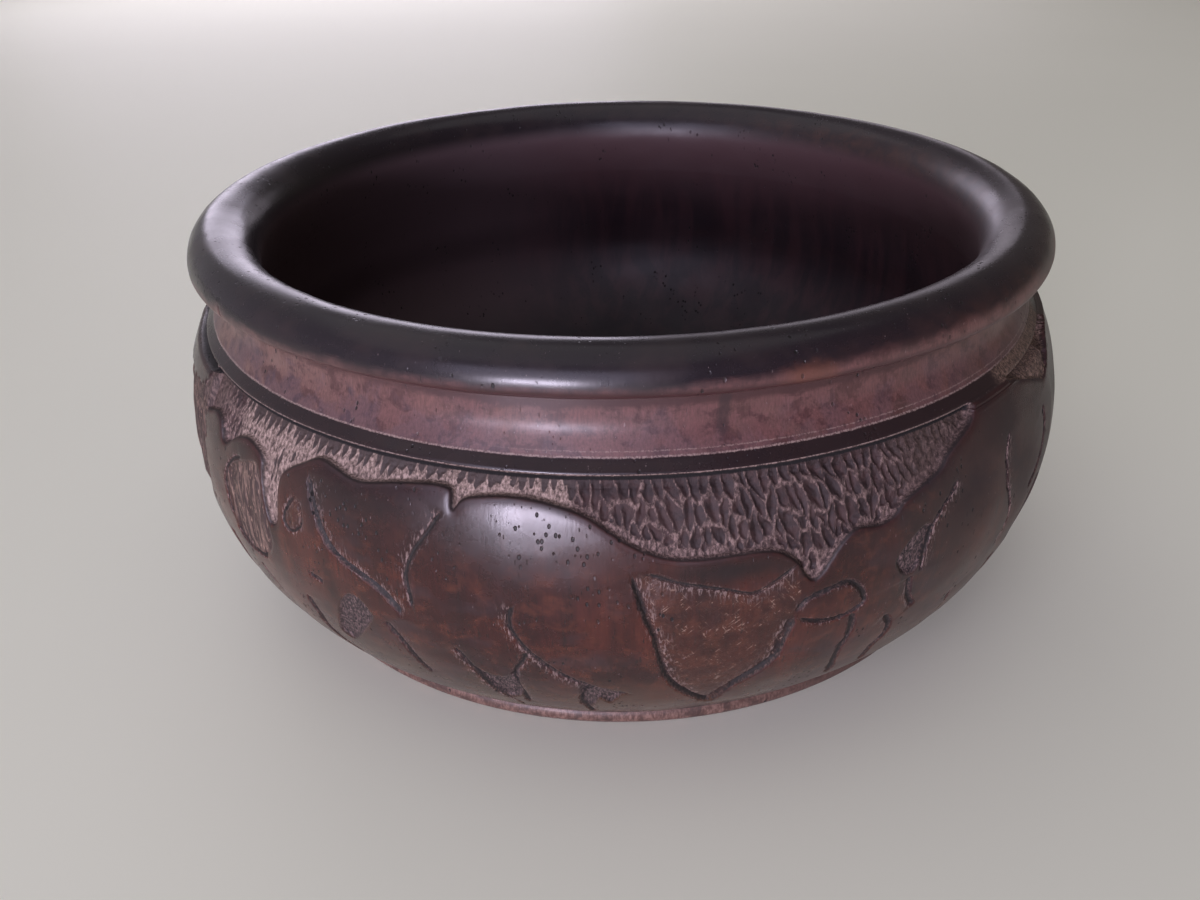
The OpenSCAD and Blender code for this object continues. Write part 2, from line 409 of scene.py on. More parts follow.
# The ground lies above the backs. On the left it stops at a smooth stretch of wall, and on the right
# at a slanting end.
to_backs, _, _ = to_line(x, zz, backs_wide)
into_ground = np.where(inside(x, zz, ground_poly), to_backs, -to_backs)
cap = smooth(-84, -78, a) * (1 - smooth(-60.5, -57.5, a - 0.45 * (z - 78) + 0.4 * ragged))
end = smooth(END - 3, END + 3, slanted(a, z) + 0.5 * ragged) * (1 - smooth(86, 92, a))
into_ground = into_ground - 12 * cap - 12 * end
into_pocket = np.full(x.shape, OUTSIDE)
for pocket in pockets:
    into_pocket = np.maximum(into_pocket, depth_inside(pocket))
ground_drop = smooth(-0.15, 0.55, into_ground)
pocket_drop = smooth(-0.2, 0.8, into_pocket)
dropped = np.maximum(ground_drop, pocket_drop)
kept = 1 - dropped

# Along the ground: wide gouge cuts in the middle, spikes and slits on the left, rough at the ends, and
# worn at the right (above 0) or pale, raw wood on the left (below 0)
wide_part = (am > -5.5) & (am < 41)
rough_ends = np.maximum(smooth(47.5, 50, am), 1 - smooth(-57, -54, am))
worn = np.maximum(smooth(27, 34, am), 1 - smooth(-56, -50, am))
worn -= smooth(-50, -46, am) * (1 - smooth(-7, -3, am))


def scoops():
    """How far inside a scoop, and how far from the ridge between it and the next one."""
    around = am * DEG + 0.5 * warp_x + 0.10 * ragged
    lean = 0.40 - 0.62 * smooth(-20, 2, am)
    wavy = around + 0.12 * ragged + 0.4 * band_noise(3.2, 3.6, 15)
    wide, next_wide = gouge_cuts(wavy, z, 2.62, 5.2, 1.95, 6.2, lean, 3)
    slits, _ = gouge_cuts(around, z, 1.9, 4.0, 0.72, 3.8, lean, 9)
    slits = slits - 0.35 - 1.5 * smooth(75.5, 77.5, z)
    pointed = np.maximum(spikes(around + 0.16 * ragged, z, 2.4, lean, 17), slits)
    torn = 1 - smooth(0.4, 2.4, into_ground + 1.0 * ragged + 1.3 * band_noise(3.4, 3, 14))
    depth = np.where(wide_part, wide, pointed)
    depth = depth - 1.15 * torn - 0.25 * smooth(0.3, 0.9, warp_x) - 1.5 * rough_ends
    return depth, np.where(wide_part, wide - next_wide + 0.1 * ragged, 9.0)


in_scoop, from_ridge = scoops()
scoop = np.clip(np.minimum(in_scoop, 1.3 * from_ridge), 0, 0.9)
fibres = band_noise(0.55, 3.2, 11)
chips = band_noise(1.1, 1.6, 12)

# The relief h, in mm over the turned form. First the bodies, a little rounded towards the ground and
# along the cut lines.
h = -0.32 * np.exp(-np.maximum(-into_ground, 0) / 0.9) * kept
h += 0.22 * band_noise(34, 26, 21) + 0.10 * band_noise(9, 9, 22)
near_line = np.full(x.shape, 4.0)
near_edge = np.zeros(x.shape)
for points, half, depth, side_drop in lines:
    d, side, along = to_line(x, zz, on_bowl(points))
    ends = smooth(0, 0.07, along) * (1 - smooth(0.93, 1, along))
    width = 0.78 * half * (0.35 + 0.65 * ends) * (1 + 0.30 * ragged)
    low_side = (side * np.sign(side_drop) > 0) | (side_drop == 0)
    if side_drop:
        h -= np.where(low_side & (d < 14), 0.8 * abs(side_drop) * np.exp(-d / 3.2), 0) * ends
        h -= np.where(low_side, 0, 0.12 * np.exp(-d / 1.2)) * ends
    else:
        h -= 0.2 * np.exp(-d / 1.3) * ends
    h -= depth * 0.70 * np.clip(1 - d / width, 0, 1)**0.6 * ends
    near_line = np.minimum(near_line, d / width + 0.8 * (1 - ends))
    reach = np.where(low_side, 1.1 + 2.6 * abs(side_drop), 0.9)
    near_edge = np.maximum(near_edge, np.exp(-(d / reach) ** 2) * ends)

# The floors of the ground and of the pockets
ground_floor = (-1.75 - 0.6 * smooth(72, 80, z)) * (1 - 0.75 * smooth(47.5, 52, am))
ground_floor += 0.08 * fibres + 0.14 * chips
ground_floor -= np.where(wide_part, 0.85, 0.6) * (1 - 0.5 * np.abs(worn)) * scoop
pocket_floor = -1.1 + 0.22 * chips + 0.14 * fibres
h = h * kept + np.where(ground_drop > pocket_drop, ground_floor, pocket_floor) * dropped

# The scratched ear and eye, and the two streaky hollows
in_ear = np.where(inside(x, zz, ear), 1.0, 0.0)
in_eye = np.where(inside(x, zz, eye), 1.0, 0.0)
h += in_ear * (0.06 * band_noise(0.7, 1.4, 31) - 0.10) + in_eye * (0.14 * chips - 0.25)
in_hollow = np.where(inside(x, zz, streaky), smooth(-0.1, 1.4, depth_inside(streaky)), 0.0) * kept
side_hollow = smooth(-80, -74, a) * (1 - smooth(-57.6, -56.4, a + 0.8 * ragged)) * smooth(44, 50, z)
side_hollow *= 1 - smooth(73, 75, z - 0.30 * np.maximum(a + 66, 0) + 1.2 * ragged)
in_hollow = np.maximum(in_hollow, side_hollow * kept)
h -= in_hollow * (0.75 - 0.35 * band_noise(1.2, 11, 33))

# The relief fades out at the foot and on the lip of the groove. Where the ground reaches the lip, the
# belly's surface goes on up to the bevel.
row_no = np.arange(first_belly, bevel_end)[:, None]
on_belly, on_lip = row_no < last_belly, row_no < lip_end
h *= smooth(6.8, 9.8, z)
h *= np.where(on_belly, 1.0, np.where(on_lip, np.clip((r - 117.2) / 3.2, 0, 1), 0.0))
over = np.where(on_belly, 0.0, kept * (1 - smooth(81.7, 82.2, z)) * (1 - cap))

# Marks on the neck and rim: a dark run of stain (below 0) and a worn patch (above 0)
mark = -np.exp(-((A - 10.9 - 0.06 * (Z - 92)) / 0.8) ** 2) * smooth(85, 90, Z) * (1 - smooth(95, 99, Z))
mark += np.exp(-((A - 18.6) / 3.4) ** 4 - ((Z - 101.6) / 2.6) ** 2) * (Z > 98.4)
mark *= R > 110

# The rough right end of the ground runs on over the groove and the bevel
grainy = smooth(47.5, 50, A) * (1 - smooth(END - 2, END + 3, slanted(A, Z)))
grainy = grainy * smooth(70, 74, Z) * (1 - smooth(84.2, 84.5, Z)) * (R > 110)

# A drying crack that runs along the crease on the left and turns up into the rim
crack_line = np.array([(-50.6, 102.4), (-50.4, 101.0), (-49.6, 99.5), (-48.6, 98.7), (-45, 98.45),
                       (-38, 98.4), (-26, 98.4)]) * (RIM_DEG, 1)
near_crack = (prof[:, 1] > 96) & (prof[:, 1] < 104) & (prof[:, 0] > 111)
to_crack, _, along = to_line(A[near_crack] * RIM_DEG, Z[near_crack], crack_line)
crack = np.full(R.shape, 2.0)
crack[near_crack] = np.clip(to_crack + 0.5 * smooth(0.5, 1, along), 0, 2)


def everywhere(values, fill):
    """A field of the carved band, on the whole grid."""
    out = np.full(R.shape, float(fill))
    out[band] = values
    return out


# What the material is told about each point, under the names it reads
masks = {
    "ground": everywhere(np.clip(into_ground, -2, 5), -2),
    "pocket": everywhere(np.clip(into_pocket, -2, 5), -2),
    "pit": everywhere(np.clip(np.minimum(in_scoop, from_ridge - 0.12), -1, 1.2), 0),
    "worn": everywhere(worn, 0),
    "grainy": grainy,
    "porous": everywhere(spots(crowns), 0),
    "mark": mark,
    "line": everywhere(np.clip(near_line, 0, 4), 4),
    "chip": everywhere(near_edge * kept, 0),
    "streaky": everywhere(in_hollow, 0),
    "stain": everywhere(spots(stains_and_shade), 0),
    "over": everywhere(over, 0),
    "crack": crack,
    "ear": everywhere(np.maximum(in_ear * 0.8, in_eye) * kept, 0),
}

# The whole form is a little uneven, as turned wood gets with wear
relief = everywhere(h, 0)
uneven = 0.22 * noise3(R * S / 42, R * C / 42, Z / 42, 41) + 0.06 * noise3(R * S / 9, R * C / 9, Z / 5, 42)
relief += uneven * smooth(3, 9, Z) * (Z > 3) - 0.25 * (1 - smooth(0.0, 0.5, crack))
carved_r = R + relief * out_r[:, None]
carved_r[band] += over * (belly(z) - r)
carved_z = Z + relief * out_z[:, None]
surface = np.stack([carved_r * S * MM, carved_r * C * MM, carved_z * MM], -1)

# ------------------------------------------------------------------- the mesh


def lathe_mesh(name, points):
    """A closed mesh: quads between the rows of points, and a fan of triangles at each end."""
    n_rows, n_cols = points.shape[:2]
    i = np.arange(n_rows - 1)[:, None] * n_cols
    j = np.arange(n_cols)[None]
    jn = (j + 1) % n_cols
    quads = np.stack([i + j, i + jn, i + n_cols + jn, i + n_cols + j], -1).reshape(-1, 4)
    poles = np.array([[0, 0, points[0, :, 2].mean()], [0, 0, points[-1, :, 2].mean()]])
    first_pole, last_row = n_rows * n_cols, (n_rows - 1) * n_cols
    bottom = np.stack([np.full(n_cols, first_pole), jn[0], j[0]], -1)
    top = np.stack([np.full(n_cols, first_pole + 1), last_row + j[0], last_row + jn[0]], -1)
    tris = np.vstack([bottom, top])

    me = bpy.data.meshes.new(name)
    verts = np.vstack([points.reshape(-1, 3), poles])
    me.vertices.add(len(verts))
    me.vertices.foreach_set("co", verts.astype(np.float32).ravel())
    me.loops.add(quads.size + tris.size)
    corners = np.concatenate([quads.ravel(), tris.ravel()])
    me.loops.foreach_set("vertex_index", corners.astype(np.int32))
    me.polygons.add(len(quads) + len(tris))
    starts = np.concatenate([np.arange(len(quads)) * 4, quads.size + np.arange(len(tris)) * 3])
    me.polygons.foreach_set("loop_start", starts.astype(np.int32))
    me.polygons.foreach_set("use_smooth", np.ones(len(starts), bool))
    me.update(calc_edges=True)
    return me


def add_attribute(me, name, field):
    at = me.attributes.new(name, "FLOAT", "POINT")
    at.data.foreach_set("value", np.concatenate([field.ravel(), [0, 0]]).astype(np.float32))


me = lathe_mesh("carved_bowl", surface)
for name, field in masks.items():
    add_attribute(me, name, field)
bowl = bpy.data.objects.new("carved_bowl", me)
scene.collection.objects.link(bowl)
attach(bowl, "root")
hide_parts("bowl")

# ------------------------------------------------------------------- the wood


class Nodes:
    """Short names for building a node tree."""

    def __init__(self, name):
        self.mat = bpy.data.materials.new(name)
        self.mat.use_nodes = True
        self.tree = self.mat.node_tree
        self.tree.nodes.clear()

    def add(self, kind, ins=None, **props):
        n = self.tree.nodes.new(kind)
        for k, v in props.items():
            setattr(n, k, v)
        for k, v in (ins or {}).items():
            self.put(n.inputs[k], v)
        return n

    def put(self, socket, v):
        if isinstance(v, bpy.types.NodeSocket):
            self.tree.links.new(v, socket)
        elif isinstance(v, bpy.types.Node):
            self.tree.links.new(v.outputs[0], socket)
        else:
            socket.default_value = v

    def math(self, op, a, b=0.0, clamp=False):
        n = self.add("ShaderNodeMath", {0: a, 1: b}, operation=op, use_clamp=clamp)
        return n.outputs[0]

    def mul(self, a, b):
        return self.math("MULTIPLY", a, b)

    def plus(self, a, b):
        return self.math("ADD", a, b)

    def sub(self, a, b):
        return self.math("SUBTRACT", a, b)

    def cells(self, vec):
        return self.add("ShaderNodeTexVoronoi", {"Vector": vec, "Scale": 1.0}).outputs["Distance"]

    def ramp(self, v, *stops):
        n = self.add("ShaderNodeValToRGB", {0: v})
        e = n.color_ramp.elements
        while len(e) < len(stops):
            e.new(0.5)
        for el, (pos, col) in zip(e, stops):
            el.position = pos
            el.color = (*col, 1) if isinstance(col, tuple) else (col, col, col, 1)
        return n.outputs[0]

    def range(self, v, a, b, c=0.0, d=1.0, kind="SMOOTHSTEP"):
        n = self.add("ShaderNodeMapRange", {0: v, 1: a, 2: b, 3: c, 4: d}, interpolation_type=kind)
        return n.outputs[0]

    def mix(self, f, a, b, blend="MIX"):
        n = self.add("ShaderNodeMix", data_type="RGBA", blend_type=blend)
        self.put(n.inputs[0], f)
        for s, v in ((n.inputs[6], a), (n.inputs[7], b)):
            self.put(s, (*v, 1) if isinstance(v, tuple) and len(v) == 3 else v)
        return n.outputs[2]

    def noise(self, vec, scale, detail=3.0, rough=0.55, distort=0.0):
        n = self.add("ShaderNodeTexNoise", {"Vector": vec, "Scale": scale, "Detail": detail,
                                            "Roughness": rough, "Distortion": distort})
        return n.outputs[0]

    def scaled(self, vec, s):
        n = self.add("ShaderNodeMapping", {"Vector": vec, "Scale": s})
        return n.outputs[0]

    def texture(self, vec, scale, detail, rough, distort=0.0):
        """Noise with its own scale along each axis."""
        return self.noise(self.scaled(vec, scale), 1.0, detail, rough, distort)

    def attr(self, name):
        return self.add("ShaderNodeAttribute", attribute_name=name).outputs[2]


def wood_fields(n):
    """Positions in mm, the carving's masks and the noises, which are named for what they paint."""
    t = SimpleNamespace(**{name: n.attr(name) for name in masks})
    t.mm = n.scaled(n.add("ShaderNodeTexCoord").outputs["Object"], (1000, 1000, 1000))
    split = n.add("ShaderNodeSeparateXYZ", {0: t.mm})
    t.across, t.up = split.outputs[0], split.outputs[2]
    flat = n.scaled(t.mm, (1, 1, 0))
    t.radius = n.add("ShaderNodeVectorMath", {0: flat}, operation="LENGTH").outputs["Value"]

    # The grain runs up the bowl, so most noises are stretched upwards
    t.grain = n.texture(t.mm, (0.16, 0.16, 0.022), 4, 0.55, 0.4)
    t.fine_grain = n.texture(t.mm, (1.7, 1.7, 0.14), 3, 0.6)
    t.cloud = n.texture(t.mm, (0.018, 0.018, 0.022), 3, 0.55, 0.4)
    t.blotch = n.texture(t.mm, (0.07, 0.07, 0.10), 5, 0.60)
    t.mottle = n.texture(t.mm, (0.22, 0.22, 0.26), 6, 0.68, 0.3)
    t.fibre = n.texture(t.mm, (1.7, 1.7, 0.60), 4, 0.7)
    t.fleck = n.texture(t.mm, (2.4, 2.4, 0.95), 3, 0.7)
    t.flake = n.texture(t.mm, (2.2, 2.2, 0.45), 3, 0.65)
    t.streak = n.texture(t.mm, (1.1, 1.1, 0.10), 3, 0.6)
    t.scratch = n.texture(t.mm, (1.0, 1.0, 1.3), 2, 0.6, 2.2)
    t.jag = n.mul(n.sub(t.fleck, 0.5), 0.5)

    # Where the cut-back ground, the pockets and the turned parts are
    t.in_ground = n.range(n.plus(t.ground, t.jag), -0.02, 0.22)
    t.in_pocket = n.range(n.plus(t.pocket, n.mul(t.jag, 2.0)), -0.1, 0.3)
    t.cut_back = n.math("MAXIMUM", n.math("MAXIMUM", t.in_ground, t.in_pocket), t.streaky)
    t.smooth = n.math("SUBTRACT", 1.0, t.cut_back, True)
    t.turned = n.mul(n.range(t.up, 80.3, 80.6), n.range(t.over, 0.3, 0.7, 1.0, 0.0))
    t.rough_end = n.mul(t.grainy, n.math("MAXIMUM", t.in_ground, t.turned))
    t.outside = n.mul(n.range(t.radius, 110, 111), n.range(t.over, 0.2, 0.5, 1.0, 0.0))
    t.outside = n.mul(t.outside, n.sub(1.0, n.mul(t.grainy, 0.8)))
    wavy = n.plus(t.up, n.mul(n.sub(t.blotch, 0.5), 6.0))
    wavy = n.sub(wavy, n.range(t.across, 0, 80, 0.0, 2.2))
    t.in_neck = n.mul(n.range(t.up, ARRIS_Z - 0.2, ARRIS_Z + 0.1), n.range(wavy, 103.0, 99.6))
    t.rim_right = n.mul(n.range(t.across, 10, 110), n.range(t.up, 108.5, 104.0))
    t.above_floor = n.range(t.up, 7, 8)
    inner = n.mul(n.range(t.radius, 109.2, 107.2), t.above_floor)
    t.in_hollow = n.mul(inner, n.range(t.up, 102.5, 96.5))
    t.on_foot = n.range(n.plus(t.up, t.blotch), 6.3, 5.7)
    t.groove = n.mul(n.range(n.plus(t.up, t.jag), 80.2, 80.5), n.range(t.up, 81.55, 81.3))
    return t


def belly_colour(n, t):
    """Dark purple-brown, redder in soft patches, with an olive-brown painted reflection low down and a dark
    painted sheen near the top.
    """
    colour = n.mix(n.range(t.cloud, 0.38, 0.60), (0.025, 0.0062, 0.0066), (0.061, 0.0150, 0.0112))
    colour = n.mix(n.range(t.grain, 0.40, 0.72, 0.0, 0.8), colour, (0.019, 0.0066, 0.0072))
    colour = n.mix(n.range(t.mottle, 0.46, 0.70, 0.0, 0.60), colour, (0.094, 0.0270, 0.0155))
    colour = n.mix(n.range(t.blotch, 0.50, 0.70, 0.0, 0.55), colour, (0.036, 0.0215, 0.0250))
    # Painted reflection: olive-brown low on the belly, as from a green surface below
    low = n.mul(n.range(t.up, 36, 12), n.range(t.blotch, 0.66, 0.36, 0.30, 0.85))
    colour = n.mix(low, colour, (0.060, 0.0310, 0.0150))
    # Painted sheen: darker and more violet towards the tops of the bodies
    colour = n.mix(n.range(t.up, 56, 76, 0.0, 0.55), colour, (0.023, 0.0120, 0.0145))
    tone = n.ramp(t.fine_grain, (0.30, (0.66, 0.66, 0.66)), (0.70, (1.22, 1.2, 1.2)))
    colour = n.mix(0.6, colour, tone, "MULTIPLY")
    streaks = n.mul(n.range(t.streak, 0.60, 0.72), n.range(t.up, 70, 50))
    colour = n.mix(streaks, colour, (0.015, 0.0080, 0.0080))
    # Stain, with painted shade on the body on the right and on the tops of the bodies
    return n.mix(t.stain, colour, (0.0130, 0.0075, 0.0085))


def neck_colour(n, t):
    """Pinkish brown, tan on the left, with darker violet patches that rise from the arris and painted shade
    in the crease under the rim.
    """
    colour = n.mix(n.range(t.across, -95, -30), (0.138, 0.0850, 0.0700), (0.094, 0.0380, 0.0375))
    colour = n.mix(n.range(t.mottle, 0.45, 0.57, 0.0, 0.75), colour, (0.062, 0.0270, 0.0280))
    colour = n.mix(n.range(t.across, 20, 100, 0.0, 0.8), colour, (0.098, 0.0460, 0.0370))
    colour = n.mix(n.range(t.blotch, 0.52, 0.72, 0.0, 0.6), colour, (0.165, 0.0680, 0.0520))
    creep = n.plus(n.texture(t.mm, (0.10, 0.10, 0.07), 6, 0.62, 0.6), n.mul(n.sub(t.flake, 0.5), 0.12))
    creep = n.sub(creep, n.mul(n.sub(t.up, ARRIS_Z), 0.020))
    creep = n.mul(n.range(creep, 0.36, 0.50, 0.0, 0.80), n.range(t.across, -70, -15, 1.0, 0.5))
    colour = n.mix(creep, colour, (0.066, 0.0430, 0.0530))
    patchy = n.mul(n.range(t.blotch, 0.53, 0.60), n.range(t.across, 0, 60, 0.2, 0.75))
    colour = n.mix(patchy, colour, (0.060, 0.0330, 0.0300))
    colour = n.mix(n.range(t.mottle, 0.60, 0.50, 0.0, 0.25), colour, (0.190, 0.1000, 0.0900))
    tone = n.ramp(t.flake, (0.30, (0.68, 0.67, 0.68)), (0.70, (1.28, 1.25, 1.25)))
    colour = n.mix(0.8, colour, tone, "MULTIPLY")
    # Painted shade in the crease under the rim, soft at its edges and weaker on the left and right
    soft_up = n.plus(t.up, n.mul(n.sub(t.mottle, 0.5), 3.0))
    crease_shade = n.mul(n.range(soft_up, 93.4, 94.9), n.range(t.up, 101.6, 100.5))
    crease_shade = n.mul(crease_shade, n.range(t.across, -85, -25, 0.30, 0.92))
    crease_shade = n.mul(crease_shade, n.range(t.across, 50, 100, 1.0, 0.6))
    return n.mix(crease_shade, colour, (0.052, 0.0215, 0.0220))


def rim_colour(n, t):
    """Nearly black, and browner on the right."""
    colour = n.mix(n.range(t.blotch, 0.45, 0.75), (0.0120, 0.0085, 0.0120), (0.0200, 0.0130, 0.0150))
    worn = n.mul(t.rim_right, n.range(t.mottle, 0.34, 0.66, 0.2, 0.9))
    return n.mix(worn, colour, (0.046, 0.0210, 0.0180))


def hollow_colour_light_and_shade(n, t):
    """Red-brown grain, with painted light high on the wall under the mouth and on the left, and painted
    shade that darkens it towards the floor.
    """
    colour = n.mix(n.range(t.grain, 0.38, 0.68), (0.0210, 0.0125, 0.0170), (0.0450, 0.0200, 0.0250))
    # Painted light high on the wall and on the left, and painted shade low in the hollow
    colour = n.mix(n.range(t.up, 60, 96), colour, (0.0680, 0.0350, 0.0390))
    colour = n.mix(n.range(t.across, 0, -60, 0.0, 0.9), colour, (0.0880, 0.0580, 0.0650))
    return n.mix(n.range(t.up, 40, 14), colour, (0.0120, 0.0095, 0.0115))


def foot_colour(n, t):
    """Worn, bare wood, darker in patches and towards the right."""
    colour = n.mix(n.range(t.fibre, 0.40, 0.62), (0.084, 0.0420, 0.0330), (0.205, 0.1220, 0.0960))
    colour = n.mix(n.range(t.mottle, 0.50, 0.62, 0.0, 0.75), colour, (0.048, 0.0290, 0.0250))
    return n.mix(n.range(t.across, 10, 60, 0.0, 0.6), colour, (0.060, 0.0350, 0.0300))


def turned_colour(n, t):
    """The uncarved bowl: belly, bevel, neck, rim, hollow and foot, each in its place."""
    rim = rim_colour(n, t)
    colour = n.mix(t.turned, belly_colour(n, t), rim)
    bevel = n.mul(t.turned, n.range(t.up, ARRIS_Z + 0.1, ARRIS_Z - 0.2))
    bevel = n.mul(bevel, n.range(t.mottle, 0.35, 0.65, 0.6, 1.0))
    colour = n.mix(bevel, colour, (0.0210, 0.0118, 0.0130))
    colour = n.mix(t.in_neck, colour, neck_colour(n, t))
    colour = n.mix(n.mul(n.range(t.radius, 109.5, 107.5), t.above_floor), colour, rim)
    colour = n.mix(t.in_hollow, colour, hollow_colour_light_and_shade(n, t))
    colour = n.mix(t.on_foot, colour, foot_colour(n, t))
    # Painted shade in the narrow gap between the belly and the foot ring, stronger towards the right
    gap_shade = n.mul(n.range(t.up, 5.0, 5.3), n.range(t.up, 6.3, 5.8))
    colour = n.mix(n.mul(gap_shade, n.range(t.across, -80, 20, 0.3, 0.95)), colour, (0.010, 0.0070, 0.0065))

    # A run of stain, a worn orange patch and the drying crack
    run = n.plus(t.mark, n.mul(n.sub(t.fleck, 0.5), 0.8))
    colour = n.mix(n.range(run, -0.20, -0.80, 0.0, 0.70), colour, (0.034, 0.0190, 0.0200))
    orange = n.range(n.plus(t.mark, n.mul(n.sub(t.mottle, 0.5), 1.2)), 0.10, 1.20, 0.0, 0.60)
    colour = n.mix(orange, colour, (0.140, 0.0520, 0.0330))
    return n.mix(n.range(t.crack, 0.10, 0.34, 0.95, 0.0), colour, (0.004, 0.003, 0.003))


def add_ground(n, t, colour):
    """Light torn ridges between dark, smooth scoops, the rough pockets and the streaky hollow, and a
    painted shadow line along the bodies' edges.
    """
    raw = n.ramp(t.fibre, (0.38, (0.032, 0.0180, 0.0165)), (0.50, (0.100, 0.0640, 0.0580)),
                 (0.62, (0.245, 0.1680, 0.1500)))
    pale_raw = n.ramp(t.fibre, (0.36, (0.058, 0.0370, 0.0320)), (0.49, (0.185, 0.1320, 0.1120)),
                      (0.63, (0.405, 0.3020, 0.2620)))
    pale = n.range(t.worn, -0.9, -0.1, 1.0, 0.0)
    hollow = n.mix(n.range(t.mottle, 0.40, 0.62), (0.0190, 0.0090, 0.0100), (0.0400, 0.0180, 0.0175))
    hollow = n.mix(n.mul(pale, 0.7), hollow, (0.044, 0.0300, 0.0270))
    scuffed = n.mix(n.range(t.fibre, 0.40, 0.62), (0.034, 0.0200, 0.0175), (0.080, 0.0500, 0.0420))
    frayed = n.plus(t.pit, n.mul(n.sub(t.fibre, 0.5), 0.55))
    t.ridge = n.mul(n.range(frayed, 0.02, 0.18, 1.0, 0.0), n.range(t.worn, 0.0, 1.0, 0.95, 0.40))
    ground = n.mix(t.ridge, n.mix(t.worn, hollow, scuffed), n.mix(pale, raw, pale_raw))
    pocket = n.mix(n.range(t.fleck, 0.42, 0.66), (0.014, 0.0085, 0.0090), (0.140, 0.0920, 0.0860))
    streaky = n.mix(n.range(t.streak, 0.48, 0.62), (0.040, 0.0240, 0.0210), (0.150, 0.0980, 0.0780))
    streaky = n.mix(n.range(t.flake, 0.58, 0.66, 0.0, 0.8), streaky, (0.380, 0.2500, 0.1850))
    colour = n.mix(n.mul(t.streaky, 0.9), colour, streaky)
    colour = n.mix(t.in_pocket, colour, pocket)
    colour = n.mix(t.in_ground, colour, ground)
    grains = n.mix(n.range(t.fibre, 0.38, 0.66), (0.045, 0.0265, 0.0195), (0.250, 0.1650, 0.1230))
    colour = n.mix(n.mul(t.rough_end, n.range(t.mottle, 0.30, 0.50, 0.65, 1.0)), colour, grains)
    # Painted shadow: a thin dark line where the bodies meet the cut-back ground, faint on the grainy right
    # end
    outline = n.range(n.math("ABSOLUTE", n.plus(n.sub(t.ground, 0.02), t.jag)), 0.08, 0.28, 0.65, 0.0)
    outline = n.mul(outline, n.sub(1.0, n.mul(t.grainy, 0.7)))
    return n.mix(n.mul(outline, n.range(t.up, 79.9, 79.3)), colour, (0.009, 0.0060, 0.0060))


def add_turned_edges(n, t, colour):
    """Light lines on the arris, on the bevel's lower edge and above the arris, partly worn edges and
    partly painted highlight, and painted shade in the groove.
    """
    ragged_up = n.plus(t.up, n.mul(n.sub(t.fibre, 0.5), 0.6))
    broken = n.range(t.flake, 0.40, 0.56, 0.15, 1.0)
    # Light lines: partly wear on the edges, partly painted highlight
    for at, half, strength, where in (
            (ARRIS_Z + 0.05, 0.14, 0.85, 1.0), (BEVEL_EDGE, 0.10, 0.8, 1.0),
            (ARRIS_Z + 1.1, 0.09, 0.5, n.range(t.across, -40, 10))):
        off = n.math("ABSOLUTE", n.sub(ragged_up, at))
        lit = n.mul(n.range(off, half * 0.6, half * 1.8, strength, 0.0), broken)
        colour = n.mix(n.mul(n.mul(lit, t.outside), where), colour, (0.290, 0.2150, 0.1900))
    # Painted shade: near black in the narrow groove under the bevel
    return n.mix(n.mul(t.groove, t.outside), colour, (0.006, 0.0045, 0.005))


def add_engraving(n, t, colour):
    """Engraved lines: brown and speckled inside, with painted shade dark in the bottom, chipped and light
    along the edges.
    """
    edge = n.mul(n.range(t.line, 0.7, 1.0), t.chip)
    t.chipped = n.mul(n.range(n.plus(t.flake, n.mul(t.chip, 0.14)), 0.62, 0.67), edge)
    colour = n.mix(n.mul(t.chipped, n.range(t.ear, 0.2, 0.7, 0.55, 0.95)), colour, (0.330, 0.2350, 0.2150))
    speckled = n.mix(n.range(t.fleck, 0.46, 0.62), (0.012, 0.0078, 0.0078), (0.080, 0.0480, 0.0400))
    ragged_line = n.plus(t.line, t.jag)
    colour = n.mix(n.range(ragged_line, 0.75, 1.05, 0.92, 0.0), colour, speckled)
    # Painted shade: the dark bottom of each cut line
    return n.mix(n.range(ragged_line, 0.30, 0.70, 0.80, 0.0), colour, (0.007, 0.0048, 0.0048))


def add_ears(n, t, colour):
    """The ear and the rough eye: warm brown, with fine light scratches."""
    strands = []
    for turn in (-0.7, 0.9):
        slant = n.add("ShaderNodeMapping", {
            "Vector": t.mm, "Rotation": (0, turn, 0), "Scale": (0.38, 0.38, 3.4)}, vector_type="TEXTURE")
        strands.append(n.range(n.noise(slant, 1.0, 2, 0.5), 0.64, 0.69))
    hair = n.mul(n.math("MAXIMUM", *strands), n.range(t.mottle, 0.47, 0.58, 0.12, 1.0))
    warm = n.mix(n.range(t.mottle, 0.40, 0.60), (0.024, 0.0098, 0.0080), (0.062, 0.0230, 0.0140))
    colour = n.mix(n.mul(t.ear, 0.55), colour, warm)
    return n.mix(n.mul(n.mul(t.ear, hair), n.mul(t.smooth, 0.85)), colour, (0.330, 0.2250, 0.1750))


def add_pores(n, t, colour):
    """Dots where the wood faces up, short dark streaks lower down, and a few light nicks."""
    dots = n.cells(n.scaled(t.mm, (0.60, 0.60, 0.36)))
    here = n.plus(n.texture(t.mm, (0.09, 0.09, 0.07), 2, 0.55), n.mul(t.porous, 0.30))
    round_pores = n.mul(n.range(dots, 0.15, 0.24, 1.0, 0.0), n.range(here, 0.56, 0.66))
    streaks = n.cells(n.scaled(t.mm, (0.85, 0.85, 0.11)))
    few = n.plus(n.texture(t.mm, (0.07, 0.07, 0.03), 2, 0.55), n.mul(t.porous, 0.12))
    long_pores = n.mul(n.range(streaks, 0.06, 0.13, 1.0, 0.0), n.range(few, 0.50, 0.62, 0.0, 0.8))
    t.pores = n.mul(n.math("MAXIMUM", round_pores, long_pores), t.smooth)
    colour = n.mix(n.mul(t.pores, 0.9), colour, (0.004, 0.003, 0.003))
    nicks = n.range(n.texture(t.mm, (1.8, 1.8, 0.45), 1, 0.55), 0.765, 0.795)
    nicks = n.mul(n.mul(nicks, t.smooth), n.mul(n.range(t.up, 8, 20), n.range(t.radius, 110, 111)))
    return n.mix(n.mul(nicks, 0.45), colour, (0.240, 0.180, 0.180))


